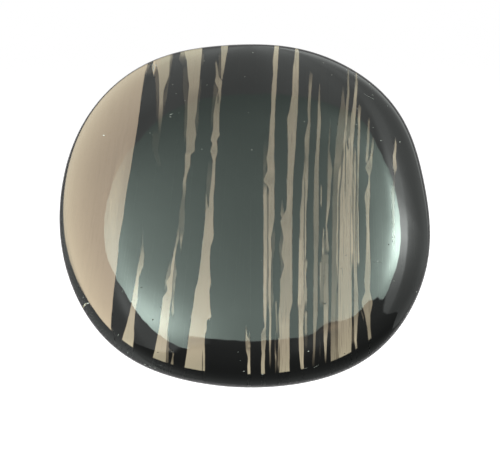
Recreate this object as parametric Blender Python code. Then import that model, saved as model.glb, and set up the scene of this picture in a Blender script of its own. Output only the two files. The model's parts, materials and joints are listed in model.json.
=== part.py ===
"""A polished obsidian disc: a flat pebble of volcanic glass, ground and polished by hand.

It is one solid piece, a little out of round, domed above and below, with a soft rim.
It lies on a small flat that is ground into the lower face, and a narrow bevel runs round under the rim.
The origin is under the middle, on the surface that it lies on, with +Z up.
"""

import math

import bpy

# Driving dimensions, in metres.
# The rim's reach from the middle, every 15 degrees, from the right-hand side anticlockwise.
RIM_REACH = (
    0.02390, 0.02382, 0.02427, 0.02437, 0.02396, 0.02342,
    0.02302, 0.02329, 0.02402, 0.02441, 0.02437, 0.02413,
    0.02402, 0.02418, 0.02439, 0.02443, 0.02387, 0.02320,
    0.02300, 0.02350, 0.02434, 0.02504, 0.02488, 0.02458,
)
# Waves round the rim that the polisher's hand left: anything finer is smoothed away.
RIM_WAVES = 9
DOME_HEIGHT = 0.0030
BELLY_DEPTH = 0.0030
# 2 gives an ellipse in section: a larger power gives flatter faces and a rounder rim.
SECTION_POWER = 2.5
# Half the width of the resting flat, as a share of the reach.
FLAT_SHARE = 0.40
# The bevel under the rim: its mean width, how much wider it gets at its widest, and where that is.
BEVEL_WIDTH = 0.00178
BEVEL_SWING = 0.00062
BEVEL_WIDEST = math.radians(300)
BEVEL_SLOPE = math.radians(30.5)

SIDES = 64
RINGS = 24


def wave_amounts():
    """How much of each wave the rim holds, as a cosine and a sine part."""
    count = len(RIM_REACH)
    amounts = []
    for wave in range(1, RIM_WAVES + 1):
        across = 0.0
        along = 0.0
        for step, reach in enumerate(RIM_REACH):
            turn = 2 * math.pi * wave * step / count
            across += 2 * reach * math.cos(turn) / count
            along += 2 * reach * math.sin(turn) / count
        amounts.append((wave, across, along))
    return amounts


WAVES = wave_amounts()
MEAN_REACH = sum(RIM_REACH) / len(RIM_REACH)


def rim_reach(angle):
    """The rim's distance from the middle in one direction."""
    reach = MEAN_REACH
    for wave, across, along in WAVES:
        reach += across * math.cos(wave * angle) + along * math.sin(wave * angle)
    return reach


def section(share):
    """How far a face stands off the rim's plane, at this share of the reach: 1 in the middle, 0 at the rim."""
    return (1 - share**SECTION_POWER) ** (1 / SECTION_POWER)


def belly_depth(share, off_plane, angle):
    """How far the lower face hangs under the rim's plane, once the bevel and the flat are ground."""
    reach = rim_reach(angle)
    width = BEVEL_WIDTH + BEVEL_SWING * math.cos(angle - BEVEL_WIDEST)
    start = BELLY_DEPTH * section(1 - width / reach)
    bevelled = start - math.tan(BEVEL_SLOPE) * (width - (1 - share) * reach)
    flat = BELLY_DEPTH * section(FLAT_SHARE)
    return min(BELLY_DEPTH * off_plane, bevelled, flat)


# Clear whatever the file opened with.
for old in list(bpy.data.objects):
    bpy.data.objects.remove(old, do_unlink=True)

# A ball of glass gives the rough blank.
bpy.ops.mesh.primitive_uv_sphere_add(segments=SIDES, ring_count=RINGS, radius=1.0)
disc = bpy.context.object
disc.name = "obsidian_disc"
disc.data.name = "obsidian_disc"

# Grind the ball down to the disc: each point moves out to the rim's reach and in to its face.
for vertex in disc.data.vertices:
    x, y, z = vertex.co
    angle = math.atan2(y, x)
    share = math.hypot(x, y) ** (2 / SECTION_POWER)
    off_plane = abs(z) ** (2 / SECTION_POWER)
    height = DOME_HEIGHT * off_plane if z > 0 else -belly_depth(share, off_plane, angle)
    reach = rim_reach(angle) * share
    vertex.co = (reach * math.cos(angle), reach * math.sin(angle), height)

# Stand it on the origin, with its resting flat at z = 0.
corners = [min(v.co[i] for v in disc.data.vertices) for i in range(3)]
tops = [max(v.co[i] for v in disc.data.vertices) for i in range(3)]
shift = ((corners[0] + tops[0]) / 2, (corners[1] + tops[1]) / 2, corners[2])
for vertex in disc.data.vertices:
    vertex.co.x -= shift[0]
    vertex.co.y -= shift[1]
    vertex.co.z -= shift[2]

bpy.ops.object.shade_smooth()

# Near-black volcanic glass with a glassy polish.
glass = bpy.data.materials.new("black_volcanic_glass")
glass.use_nodes = True
surface = glass.node_tree.nodes["Principled BSDF"]
surface.inputs["Base Color"].default_value = (0.016, 0.016, 0.015, 1.0)
surface.inputs["Roughness"].default_value = 0.04
surface.inputs["IOR"].default_value = 1.49
disc.data.materials.append(glass)
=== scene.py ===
# %% [markdown]
# # A polished obsidian disc
# Obsidian is volcanic glass. This one was ground from a lump to a flat pebble, domed above and
# below, and polished by hand until it shines. The glass is almost black, but ribbons of clear,
# smoky glass run through it, drawn out when the lava flowed.
#
# The lesson builds one closed body of glass, paints the ribbons into it, and lights it so that
# the polish can be seen. Every object is measured in metres, and most tables are in millimetres.

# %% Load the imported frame
import math

import bpy
import numpy as np
from mathutils import Matrix, Vector
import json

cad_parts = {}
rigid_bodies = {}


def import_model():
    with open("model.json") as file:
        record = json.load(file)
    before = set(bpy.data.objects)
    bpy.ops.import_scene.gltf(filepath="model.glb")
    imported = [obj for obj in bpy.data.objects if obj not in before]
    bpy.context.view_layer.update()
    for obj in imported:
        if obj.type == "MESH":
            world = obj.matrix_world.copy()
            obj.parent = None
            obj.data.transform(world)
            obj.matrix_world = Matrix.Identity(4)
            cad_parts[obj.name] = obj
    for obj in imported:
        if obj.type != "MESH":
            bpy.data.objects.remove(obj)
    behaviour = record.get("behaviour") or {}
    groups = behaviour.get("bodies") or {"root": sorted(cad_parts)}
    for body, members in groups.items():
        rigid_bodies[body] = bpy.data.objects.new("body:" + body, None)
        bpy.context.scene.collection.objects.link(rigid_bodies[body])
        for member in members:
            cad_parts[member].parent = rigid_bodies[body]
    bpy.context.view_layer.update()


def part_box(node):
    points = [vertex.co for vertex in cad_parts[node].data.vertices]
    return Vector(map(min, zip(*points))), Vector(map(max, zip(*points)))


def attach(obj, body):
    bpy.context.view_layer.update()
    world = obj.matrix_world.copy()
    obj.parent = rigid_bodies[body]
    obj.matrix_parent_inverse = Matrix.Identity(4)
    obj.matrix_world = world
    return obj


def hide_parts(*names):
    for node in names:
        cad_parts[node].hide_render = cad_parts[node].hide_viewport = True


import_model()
stone_low, stone_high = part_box("obsidian_disc")
MM = 0.001

# %% [markdown]
# ## The outline
# A hand-ground pebble is never quite round. A lapidary would turn it against the wheel and stop
# where it looks right, so the rim wanders by a millimetre or so. It could be drawn as a curve,
# but a few waves laid round a mean reach give a rim with no corners and few numbers.

# %% Outline of the rim
# The rim's reach from the middle in mm, every 15 degrees, from the right-hand side anticlockwise.
RIM_REACH = (
    23.90, 23.82, 24.27, 24.37, 23.96, 23.42, 23.02, 23.29, 24.02, 24.41, 24.37, 24.13,
    24.02, 24.18, 24.39, 24.43, 23.87, 23.20, 23.00, 23.50, 24.34, 25.04, 24.88, 24.58,
)
RIM_WAVES = 9
steps = 2 * np.pi * np.arange(len(RIM_REACH)) / len(RIM_REACH)
WAVES = [
    (
        wave,
        2 * float(np.mean(RIM_REACH * np.cos(wave * steps))),
        2 * float(np.mean(RIM_REACH * np.sin(wave * steps))),
    )
    for wave in range(1, RIM_WAVES + 1)
]


def rim_reach(angle):
    """The rim's distance from the middle in mm."""
    reach = np.full_like(angle, np.mean(RIM_REACH))
    for wave, across, along in WAVES:
        reach += across * np.cos(wave * angle) + along * np.sin(wave * angle)
    return reach


print("mean reach of the rim in mm:", round(float(np.mean(RIM_REACH)), 2))

# %% [markdown]
# ## The body of the stone
# The real disc is one piece of glass with a low dome on each side and a rim that rolls over
# softly. A sphere could be squashed to it with modifiers, but the reflections on a polish show
# every facet. So the body is laid out point by point from one formula, finely enough that the
# rim is round to the eye: the section is a circle whose power is a little over 2, which makes
# the faces flat and the edge full. Under the rim the maker ground a narrow bevel, a little wider
# at the front than at the back. It is hardly there to the touch, but it turns the light round
# inside the glass, so seen from the front the ribbons stop short of the edge.

# %% Section of the disc
DOME_HEIGHT = 3.0
BELLY_DEPTH = 3.0
SECTION_POWER = 2.5
FLAT_SHARE = 0.40
BEVEL_WIDTH = 1.78
BEVEL_SWING = 0.62
BEVEL_WIDEST = math.radians(300)
BEVEL_SLOPE = math.radians(30.5)
BEVEL_SOFTNESS = 0.05


def section(share):
    """How far a face stands off the rim's plane at this share of the reach, from 1 down to 0."""
    return (1 - share**SECTION_POWER) ** (1 / SECTION_POWER)


def with_bevel(depth, share, turn):
    """The belly's depth once a bevel is ground off under the rim."""
    reach = rim_reach(turn)
    width = BEVEL_WIDTH + BEVEL_SWING * np.cos(turn - BEVEL_WIDEST)
    start = BELLY_DEPTH * section(1 - width / reach)
    bevel = start - math.tan(BEVEL_SLOPE) * (width - (1 - share) * reach)
    blend = np.clip(1 - np.abs(depth - bevel) / BEVEL_SOFTNESS, 0, 1)
    return np.minimum(depth, bevel) - BEVEL_SOFTNESS / 4 * blend**2


FLAT_LEVEL = -BELLY_DEPTH * section(FLAT_SHARE)
print("depth of the resting flat under the rim, mm:", round(-FLAT_LEVEL, 3))

# %% Points of the body
SIDES = 360
RINGS = 230


def surface(tilt, turn):
    """Points of the skin in mm: tilt runs from the foot up to the crown, turn runs round the rim."""
    reach = rim_reach(turn)
    share = np.cos(tilt) ** (2 / SECTION_POWER)
    off_plane = np.abs(np.sin(tilt)) ** (2 / SECTION_POWER)
    belly = np.maximum(-with_bevel(BELLY_DEPTH * off_plane, share, turn), FLAT_LEVEL)
    height = np.where(tilt > 0, DOME_HEIGHT * off_plane, belly)
    return np.stack([reach * share * np.cos(turn), reach * share * np.sin(turn), height], axis=-1)


turns = 2 * np.pi * np.arange(SIDES) / SIDES
tilts = np.linspace(-np.pi / 2, np.pi / 2, RINGS + 1)[1:-1]
tilt_grid, turn_grid = np.meshgrid(tilts, turns, indexing="ij")
points = surface(tilt_grid, turn_grid).reshape(-1, 3)
points = np.vstack([points, [[0, 0, FLAT_LEVEL], [0, 0, DOME_HEIGHT]]])
print("points in the body:", len(points))

# %% [markdown]
# ## Polished normals
# A polish is smoother than any mesh. Blender would average the faces round each point, which
# leaves a faint ripple in the reflections. The formula knows the shape between the points too,
# so the slope is measured a hair's breadth to either side of each point, and the exact normal is
# handed to the mesh.

# %% Normals of the body
HAIR = 1e-4
up_the_side = surface(tilt_grid + HAIR, turn_grid) - surface(tilt_grid - HAIR, turn_grid)
round_the_rim = surface(tilt_grid, turn_grid + HAIR) - surface(tilt_grid, turn_grid - HAIR)
normals = np.cross(round_the_rim, up_the_side).reshape(-1, 3)
normals = np.vstack([normals, [[0, 0, -1], [0, 0, 1]]])
normals /= np.linalg.norm(normals, axis=1, keepdims=True)
print("normals point outward:", bool((normals * points).sum(axis=1).min() > 0))

# %% Join the points into one closed skin
ROWS = len(tilts)
skin = []
for row in range(ROWS - 1):
    for side in range(SIDES):
        nxt = (side + 1) % SIDES
        skin.append((row * SIDES + side, row * SIDES + nxt, (row + 1) * SIDES + nxt, (row + 1) * SIDES + side))
foot, crown = ROWS * SIDES, ROWS * SIDES + 1
for side in range(SIDES):
    nxt = (side + 1) % SIDES
    skin.append((foot, nxt, side))
    skin.append((crown, (ROWS - 1) * SIDES + side, (ROWS - 1) * SIDES + nxt))

# The outline's own middle is not quite the middle of the CAD box, so the body is moved there.
plan_low, plan_high = points.min(axis=0), points.max(axis=0)
box_middle = (np.array(stone_low) + np.array(stone_high)) / 2 / MM
MIDDLE = Vector((
    box_middle[0] - (plan_low[0] + plan_high[0]) / 2,
    box_middle[1] - (plan_low[1] + plan_high[1]) / 2,
    stone_low[2] / MM - FLAT_LEVEL,
))
stone_mesh = bpy.data.meshes.new("polished_disc")
stone_mesh.from_pydata([tuple((Vector(p) + MIDDLE) * MM) for p in points], [], skin)
stone_mesh.update()
stone_mesh.normals_split_custom_set_from_vertices([tuple(n) for n in normals])
stone = bpy.data.objects.new("polished_disc", stone_mesh)
bpy.context.scene.collection.objects.link(stone)
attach(stone, "root")
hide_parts("obsidian_disc")
print("faces in the body:", len(stone_mesh.polygons), "rim plane in mm:", round(MIDDLE.z, 3))

# %% [markdown]
# ## The ribbons of clear glass
# The ribbons are not on the surface. They are thin sheets of clearer glass that stand in the
# stone and run right through it. Cut and polished, each one shows as a long strip that lets
# light through. As the lava crept along it pulled them out, so they are wide in the middle,
# split into splinters, and end in points.
#
# They could be modelled as separate bodies inside the stone, but the glass is one piece and the
# edges are feathered, so they are a part of its material. Each ribbon is written down as a few
# stations: how far along the stone, the left and right edge, and how clear the glass is there.

# %% Stations of the ribbons
# (along, left edge, right edge, clearness), in mm from the outline's middle.
RIBBONS = {
    "left_window": (
        (22.1, -26, -12.38, 0.93), (20.5, -26, -12.18, 0.93), (18.8, -26, -12.92, 0.93),
        (15.4, -26, -13.43, 0.96), (12.1, -26, -13.8, 0.96), (5.6, -26, -14.77, 0.93),
        (2.4, -26, -15.29, 0.93), (-0.8, -26, -15.61, 0.93), (-4, -26, -16.17, 0.93),
        (-7.2, -26, -16.34, 0.93), (-10.3, -26, -16.72, 0.93), (-13.5, -26, -16.92, 0.93),
        (-15, -26, -16.94, 0.93), (-17.5, -26, -16.46, 0.93), (-20.6, -26, -17.28, 0.93),
    ),
    "upper_wedge": (
        (22.6, -11.62, -9.37, 0.93), (20.6, -11.62, -9.7, 0.89), (18.4, -11.22, -9.83, 0.9),
        (16.4, -11.13, -10.52, 0.89), (14.6, -11.11, -10.63, 0.89), (12.9, -11.25, -10.66, 0.66),
        (11.1, -11.2, -10.85, 0.37), (9.6, -11.1, -10.97, 0),
    ),
    "upper_splinter": (
        (22.1, -12.12, -11.3, 0.93), (20.8, -11.95, -11.56, 0.97), (19.6, -12.11, -11.53, 1),
        (18.5, -11.9, -11.82, 1), (18, -11.85, -11.84, 0.5), (17.8, -11.84, -11.84, 0),
    ),
    "upper_tail": (
        (11.5, -11.95, -11.17, 0), (10.3, -11.99, -10.98, 0.24), (8.3, -11.95, -11.22, 0.2),
        (6.4, -11.33, -10.82, 0.2), (5.3, -11.2, -10.88, 0),
    ),
    "lower_wedge": (
        (-1.2, -13.18, -13.18, 0), (-1.4, -13.21, -13.16, 0.1), (-2.7, -13.25, -13.02, 0.16),
        (-4.2, -13.19, -13.03, 0.49), (-5.6, -13.38, -12.88, 0.77), (-7.2, -13.71, -12.99, 0.84),
        (-8.8, -13.93, -13.56, 1), (-10.4, -14.24, -13.62, 1), (-11.8, -14.44, -13.72, 0.94),
        (-13.5, -14.75, -13.97, 0.96), (-15.1, -15.16, -14.07, 0.95), (-16.6, -15.63, -14.06, 0.9),
        (-18.2, -16.23, -14.23, 1), (-20.1, -16.6, -14.54, 0.93),
    ),
    "second_upper": (
        (22.9, -8.07, -5.29, 0.93), (22.1, -7.99, -5.5, 0.93), (20.4, -7.57, -5.66, 0.9),
        (18.7, -7.45, -5.82, 0.9), (17, -7.28, -5.9, 0.91), (15.4, -7.39, -6.09, 0.84),
        (13.7, -7.45, -6.21, 0.86), (12.1, -7.47, -6.47, 0.85), (10.4, -7.62, -6.23, 0.85),
        (9.2, -7.57, -6.47, 0.86), (8.1, -7.59, -6.48, 0.81), (7.6, -7.76, -7.01, 0.91),
        (6.1, -7.73, -7.03, 0.87), (5, -7.81, -7.4, 0.89), (4, -7.99, -7.58, 0.91),
        (3, -7.99, -7.54, 0.7), (2.2, -8.01, -7.62, 0.62), (1.4, -8.16, -7.72, 0.48),
        (-0.1, -8.41, -7.71, 0.49), (-2.1, -8.54, -7.76, 0.48), (-3.3, -8.62, -7.84, 0.33),
        (-4.2, -8.68, -8.04, 0),
    ),
    "second_fringe": (
        (22.6, -9.47, -9.24, 0.37), (21.3, -9.66, -9.26, 0.67), (19.6, -9.81, -9.55, 0.4),
        (17, -10.2, -9.92, 0.39), (15.1, -10.5, -10.18, 0.47), (13.5, -10.74, -10.46, 0),
    ),
    "second_frost": (
        (22.2, -8.44, -7.86, 0.57), (21.6, -8.38, -7.82, 0.85), (20.7, -8.59, -7.67, 0.35),
        (19.3, -7.92, -7.53, 0),
    ),
    "second_lower": (
        (-1.9, -8.54, -8.54, 0), (-2.1, -8.67, -8.41, 0.36), (-2.6, -8.65, -8.4, 0.7),
        (-3.6, -8.82, -8.39, 0.75), (-4.7, -9, -8.72, 0.83), (-5.8, -9.21, -8.89, 0.99),
        (-7.4, -9.47, -9.07, 0.99), (-8.3, -9.5, -9.15, 0.98), (-9.3, -10.07, -9.23, 0.97),
        (-10.4, -9.85, -9.28, 1), (-11.3, -10.48, -9.33, 0.96), (-12.3, -10.57, -9.51, 0.99),
        (-13.3, -10.72, -9.57, 0.99), (-15.3, -10.9, -9.78, 0.99), (-18.1, -11.46, -9.96, 0.93),
        (-19.1, -11.71, -9.98, 0.79), (-21.7, -12.3, -10.14, 0.77),
    ),
    "second_haze": (
        (-5.9, -9.44, -8.8, 0), (-7.3, -9.78, -8.81, 0.6), (-8.3, -10.02, -8.68, 0.65),
        (-9.3, -10.2, -8.91, 0.65), (-10.4, -10.24, -9.1, 0.35), (-11.3, -10.44, -9.29, 0),
    ),
    "second_strand": (
        (-1.9, -8.18, -8.18, 0), (-2.1, -8.21, -8.15, 0.47), (-2.6, -8.3, -7.83, 0.44),
        (-3.7, -8.33, -7.98, 0.82), (-4.7, -8.28, -8.13, 0.74), (-5.8, -8.24, -8.17, 0),
    ),
    "second_right": (
        (-8.6, -9.01, -9.01, 0), (-8.8, -9.1, -8.92, 0.43), (-9.7, -9.17, -8.87, 0.79),
        (-11.3, -9.29, -9.03, 0.54), (-12.3, -9.32, -9.07, 0.81), (-13.3, -9.35, -9.05, 0.77),
        (-14.2, -9.23, -9.2, 0),
    ),
    "second_tip": (
        (-16.3, -9.84, -9.84, 0), (-16.5, -9.99, -9.69, 0.63), (-17.9, -9.98, -9.66, 0.59),
        (-18.5, -9.15, -8.94, 0.68), (-19, -9.2, -9.07, 0.58), (-20, -9.42, -9.06, 0.67),
        (-22, -9.88, -9.27, 0.64),
    ),
    "second_olive": (
        (-16.2, -9.82, -9.82, 0), (-16.4, -9.91, -9.72, 0.63), (-18.2, -9.98, -9.66, 0.55),
        (-20, -10, -9.7, 0.38), (-21.4, -10.2, -9.94, 0.38),
    ),
    "third_top": (
        (23.3, -3.16, -1.87, 0.93), (22.7, -3.11, -2.09, 0.93), (22.1, -3.09, -2.14, 0.77),
        (20.8, -3.08, -2.41, 0.88), (19.4, -3.07, -2.62, 0.86), (18.4, -3.11, -2.8, 0.8),
        (17.9, -3.05, -2.86, 0.98), (17.7, -2.96, -2.96, 0),
    ),
    "third_band": (
        (20.9, -3.73, -3.73, 0), (20.7, -3.74, -3.72, 0.32), (20.1, -3.85, -3.57, 0.68),
        (19.2, -3.76, -3.45, 0.73), (18.4, -3.75, -3.39, 0.77), (17.6, -3.9, -2.88, 0.85),
        (16.5, -3.41, -3.07, 0.88), (15.3, -3.77, -3.04, 0.72), (14.5, -3.87, -3.18, 0.76),
        (12.9, -4.1, -3.29, 0.86), (11.1, -4.1, -3.32, 0.89), (10.3, -4.28, -3.2, 0.900909),
        (9.6, -4.43, -3.58, 0.91), (9.2, -4.21, -3.56, 0.93), (8.1, -4.44, -3.51, 0.86),
        (7, -4.15, -3.74, 0.94), (6.1, -4.2, -3.78, 0.89), (5, -4.23, -3.82, 0.94),
        (3.9, -4.37, -3.82, 0.92), (1.9, -4.6, -4.01, 0.92), (0.5, -4.65, -3.98, 0.91),
        (0.4, -5.07, -3.97, 0.9), (-1.1, -5.13, -4.06, 0.95), (-3.1, -5.3, -3.96, 0.96),
        (-3.8, -5.39, -4.03, 0.951667), (-4.7, -5.52, -4.37, 0.94), (-6.3, -5.63, -4.46, 0.96),
        (-8.3, -5.9, -4.44, 0.97), (-9.3, -6.04, -4.27, 0.99), (-10.5, -6.37, -4.49, 1),
        (-12.3, -6.59, -4.41, 1), (-14, -6.86, -4.25, 1), (-14.3, -6.81, -4.82, 1),
        (-15.6, -7.04, -4.84, 1), (-16.3, -7.16, -5.06, 1), (-16.8, -7.21, -5.09, 0.89),
        (-18.3, -7.33, -5.05, 0.94), (-20.8, -7.73, -5.05, 0.81), (-22.8, -8.12, -5.21, 0.77),
    ),
    "third_splinter": (
        (2.9, -5.02, -5.02, 0), (2.2, -5.05, -4.9, 0.69), (1.4, -5.02, -4.81, 0.84),
        (0.4, -5.06, -4.66, 0.86), (0.2, -4.86, -4.86, 0),
    ),
    "third_veil": (
        (7.2, -4.66, -4.22, 0), (6.2, -4.71, -4.19, 0.3), (5.3, -4.78, -4.24, 0.36),
        (4.2, -4.93, -4.31, 0.44), (2.2, -4.98, -4.51, 0.38), (1, -4.97, -4.66, 0),
    ),
    "front_splinter": (
        (-14.8, 0.18, 0.18, 0), (-15, 0.17, 0.19, 0.6), (-16.4, 0.13, 0.36, 0.92),
        (-17, 0.12, 0.68, 0.73), (-18, 0.16, 0.72, 0.71), (-18.3, 0.2, 0.73, 0.86),
        (-19.2, 0.44, 0.69, 0.92), (-20.3, 0.35, 0.74, 0.96), (-21.3, 0.38, 0.76, 0.9),
        (-23.1, 0.39, 0.83, 0.9),
    ),
    "front_fork": (
        (-15.7, 0.6, 0.6, 0), (-15.9, 0.56, 0.64, 0.62), (-16.4, 0.48, 0.69, 0.43),
        (-17.8, 0.34, 0.76, 0.9), (-18, 0.55, 0.55, 0),
    ),
    "middle_hair": (
        (2.1, 0.75, 0.83, 0), (1, 0.72, 0.85, 0.1), (-11.7, 0.69, 0.84, 0.13), (-15.1, 0.74, 0.79, 0),
    ),
    "middle_hairs": (
        (3.1, -0.1, 0.05, 0), (1.5, -0.1, 0.03, 0.09), (-0.6, 1.49, 1.62, 0.09), (-2.2, 1.52, 1.59, 0),
    ),
    "fourth_left": (
        (4.3, 2.67, 2.67, 0), (4.1, 2.49, 2.84, 0.32), (3.1, 2.43, 2.89, 0.85),
        (2.1, 2.38, 2.85, 0.95), (-1.3, 2.45, 2.94, 0.91), (-6, 2.39, 2.93, 0.93),
        (-7.9, 2.42, 2.88, 1), (-11.2, 2.39, 2.82, 1), (-13.7, 2.42, 2.82, 1),
        (-15.2, 2.54, 2.72, 0.89), (-16, 2.09, 2.7, 0.66), (-16.9, 2.11, 2.77, 0.74),
        (-18.2, 2.14, 2.6, 0.88), (-18.5, 2.2, 2.6, 0.881667), (-19.8, 2.08, 2.57, 0.89),
        (-23.1, 2.13, 2.65, 0.85),
    ),
    "fourth_veil": (
        (10.7, 2.78, 3.11, 0), (8.9, 2.46, 3.03, 0.22), (6.2, 2.41, 2.82, 0.46),
        (3.5, 2.38, 2.63, 0.4), (1.5, 2.37, 2.5, 0),
    ),
    "fourth_band": (
        (23.3, 3.97, 4.52, 0.93), (20.4, 3.68, 4.37, 0.94), (18.7, 3.69, 4.3, 0.92),
        (15.9, 3.49, 4.11, 0.92), (13.7, 3.46, 3.97, 0.95), (12.1, 3.27, 3.96, 0.93),
        (10.4, 3.22, 3.88, 0.94), (8.8, 3.11, 3.92, 0.93), (7.2, 2.82, 3.83, 0.9),
        (5.6, 2.97, 3.91, 0.93), (4.1, 2.42, 3.92, 0.84), (3.1, 3.15, 3.83, 0.91),
        (2.1, 3.11, 3.87, 0.92), (-1.3, 3.09, 3.85, 0.87), (-3.5, 3.03, 3.38, 0.99),
        (-5.6, 3.05, 3.53, 0.93), (-7.9, 3.11, 3.39, 1), (-11.2, 3.01, 3.39, 0.91),
        (-13.7, 3.16, 3.41, 0.89), (-16.9, 3.11, 3.4, 0.95), (-18.2, 3.16, 3.33, 0.74),
        (-19.8, 3.13, 3.37, 0.41), (-20.8, 3.24, 3.31, 0),
    ),
    "fifth_band": (
        (23, 6.62, 7.03, 0.93), (22.3, 6.6, 7.06, 0.93), (21.7, 6.56, 7.14, 0.85),
        (19.5, 6.32, 7.09, 0.96), (15.9, 6.16, 7.01, 0.91), (13.7, 5.84, 6.93, 0.88),
        (12.5, 5.5, 6.86, 0.88), (10.4, 5.58, 6.7, 0.92), (8.9, 5.6, 6.63, 0.9),
        (5.6, 5.56, 6.39, 0.9), (3.9, 5.4, 6.27, 0.89), (2.1, 5.47, 6.23, 0.93),
        (0.3, 5.38, 6.17, 0.89), (-1.3, 4.6, 6.18, 0.85), (-3.5, 4.99, 6.13, 0.89),
        (-5.6, 4.69, 6.13, 0.86), (-7.2, 5.08, 6.12, 0.89), (-9.1, 4.52, 6.14, 0.85),
        (-10.4, 4.55, 6.13, 0.86), (-12, 4.49, 6.11, 0.86), (-13.5, 4.33, 5.8, 0.87),
        (-15.1, 4.4, 5.74, 0.93), (-18.2, 4.5, 5.74, 0.87), (-19.8, 4.47, 5.72, 0.85),
        (-23.1, 4.23, 5.85, 0.81),
    ),
    "fifth_splinters": (
        (2, 4.85, 4.85, 0), (1.8, 4.82, 4.89, 0.23), (1.1, 4.74, 4.97, 0.41), (-0.3, 4.61, 5.1, 0.71),
        (-1.8, 5.04, 5, 0.97), (-2.7, 4.66, 5, 0.25), (-4.8, 4.42, 5.03, 0.51), (-7.2, 4.67, 5, 0.47),
        (-9.3, 4.61, 4.79, 0.12), (-9.9, 4.61, 4.66, 0),
    ),
    "sixth_band": (
        (19.3, 8.56, 8.56, 0), (19.1, 8.54, 8.58, 0.24), (18.6, 8.48, 8.91, 0.46),
        (16.9, 8.33, 8.76, 0.79), (13.3, 8.19, 8.54, 0.76), (12.1, 8.21, 8.56, 0.75),
        (9.9, 7.78, 8.45, 0.85), (7.3, 7.81, 8.3, 0.74), (3.8, 7.43, 8.22, 0.88),
        (2.1, 7.4, 8.14, 0.85), (-0.2, 7.12, 7.96, 0.9), (-3.5, 7.13, 7.94, 0.91),
        (-5.6, 7.03, 7.93, 0.95), (-8.5, 7.02, 7.44, 1), (-12, 6.92, 7.76, 0.89),
        (-15.3, 6.88, 7.47, 0.97), (-18.2, 6.9, 7.57, 0.91), (-19.8, 7.08, 7.51, 0.91),
        (-20.5, 7.16, 7.59, 0.78), (-21.2, 7.37, 7.5, 0.3),
    ),
    "sixth_hair": (
        (-12.7, 7.77, 7.85, 0), (-13.4, 7.68, 8.05, 0.81), (-16, 7.66, 7.97, 0.66),
        (-16.6, 7.71, 7.84, 0),
    ),
    "seventh_band": (
        (17.7, 9.79, 9.79, 0), (17.5, 9.77, 9.8, 0.15), (17.2, 9.72, 9.85, 0.53),
        (14.3, 9.53, 9.84, 0.81), (12.5, 9.47, 9.95, 0.86), (8.9, 9.27, 9.75, 0.86),
        (5.6, 9.03, 9.59, 0.77), (-0.2, 8.85, 9.59, 0.72), (-3.5, 8.89, 9.52, 0.65),
        (-7.2, 8.86, 9.4, 0.69), (-10.4, 8.78, 9.37, 0.7), (-13.5, 8.8, 9.33, 0.75),
        (-16.6, 8.74, 9.05, 0.7), (-18.2, 8.73, 9, 0.59), (-19.8, 8.58, 8.9, 0.24),
        (-20.8, 8.6, 8.93, 0),
    ),
    "eighth_hair": (
        (4, 9.87, 9.87, 0), (3.8, 9.84, 9.89, 0.3), (3.3, 9.82, 10.04, 0.76), (0.9, 9.81, 9.93, 1),
        (0.2, 9.83, 9.88, 0),
    ),
    "eighth_fine": (
        (13, 11.11, 11.11, 0), (12.8, 11.09, 11.13, 0.18), (12.4, 11.06, 11.18, 0.18),
        (10.6, 10.98, 11.15, 0.49), (8.3, 10.81, 11, 0.58), (5.6, 10.73, 11.38, 0.7),
        (3.2, 10.7, 11.13, 0.73), (0.9, 10.59, 11.02, 0.86), (-1.8, 10.44, 10.61, 0.95),
        (-5.1, 10.44, 10.88, 0.72), (-5.8, 10.5, 10.68, 0),
    ),
    "eighth_bright": (
        (-1.9, 10.11, 10.11, 0), (-2.1, 10.07, 10.15, 0.48), (-2.5, 10.12, 10.25, 1),
        (-5.6, 9.92, 10.13, 0.92), (-6, 10.06, 10.16, 0.34), (-6.2, 10.11, 10.11, 0),
    ),
    "eighth_veil": (
        (-5.4, 9.91, 10.71, 0), (-5.8, 9.85, 10.8, 0.63), (-6.7, 9.82, 10.76, 0.63),
        (-7.2, 9.92, 10.7, 0),
    ),
    "eighth_pair": (
        (-6.5, 9.75, 9.75, 0), (-6.7, 9.64, 9.86, 0.71), (-9.1, 9.62, 9.8, 0.82),
        (-11.2, 9.65, 9.83, 0.56), (-12.2, 9.67, 9.77, 0),
    ),
    "eighth_main": (
        (-6.5, 10.5, 10.5, 0), (-6.7, 10.24, 10.76, 0.65), (-9.1, 10.2, 10.75, 0.7),
        (-10.4, 10.09, 10.76, 0.71), (-11.9, 10.08, 10.76, 0.69), (-13.5, 10.09, 10.72, 0.86),
        (-15.1, 10.05, 10.7, 0.73), (-16.6, 10.08, 10.53, 0.93), (-18.2, 10.16, 10.45, 0.89),
        (-19.2, 10.18, 10.43, 0.54), (-19.9, 10.32, 10.37, 0.2), (-20.1, 10.35, 10.35, 0),
    ),
    "ninth_veil": (
        (17.4, 12.72, 13.04, 0), (15.8, 12.65, 12.98, 0.54), (14.3, 12.49, 13.1, 0.56),
        (12.4, 12.17, 13.06, 0.57), (9.6, 11.86, 13.03, 0.6), (6.9, 11.64, 12.82, 0.71),
        (4.2, 11.45, 12.51, 0.51), (1.6, 11.36, 12.25, 0.54), (-3.8, 11.23, 12, 0.61),
        (-8.5, 11.15, 11.97, 0.52), (-11.4, 11.09, 11.7, 0.61), (-14.3, 11.02, 11.58, 0.62),
        (-17.5, 10.97, 11.59, 0.69), (-21.4, 10.96, 11.78, 0.71),
    ),
    "ninth_smoke": (
        (-10.4, 11.82, 11.82, 0), (-10.6, 11.57, 12.07, 0.44), (-14.3, 11.53, 12.05, 0.45),
        (-18.2, 11.51, 12.04, 0.64), (-21.4, 11.7, 12.23, 0.47),
    ),
    "ninth_light": (
        (21, 13.39, 13.49, 0.2), (20.2, 13.35, 13.62, 0.5), (16.5, 13.37, 13.68, 0.75),
        (13.5, 13.1, 13.49, 0.79), (11.3, 13.03, 13.21, 1), (9.4, 12.75, 13.27, 0.92),
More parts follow.
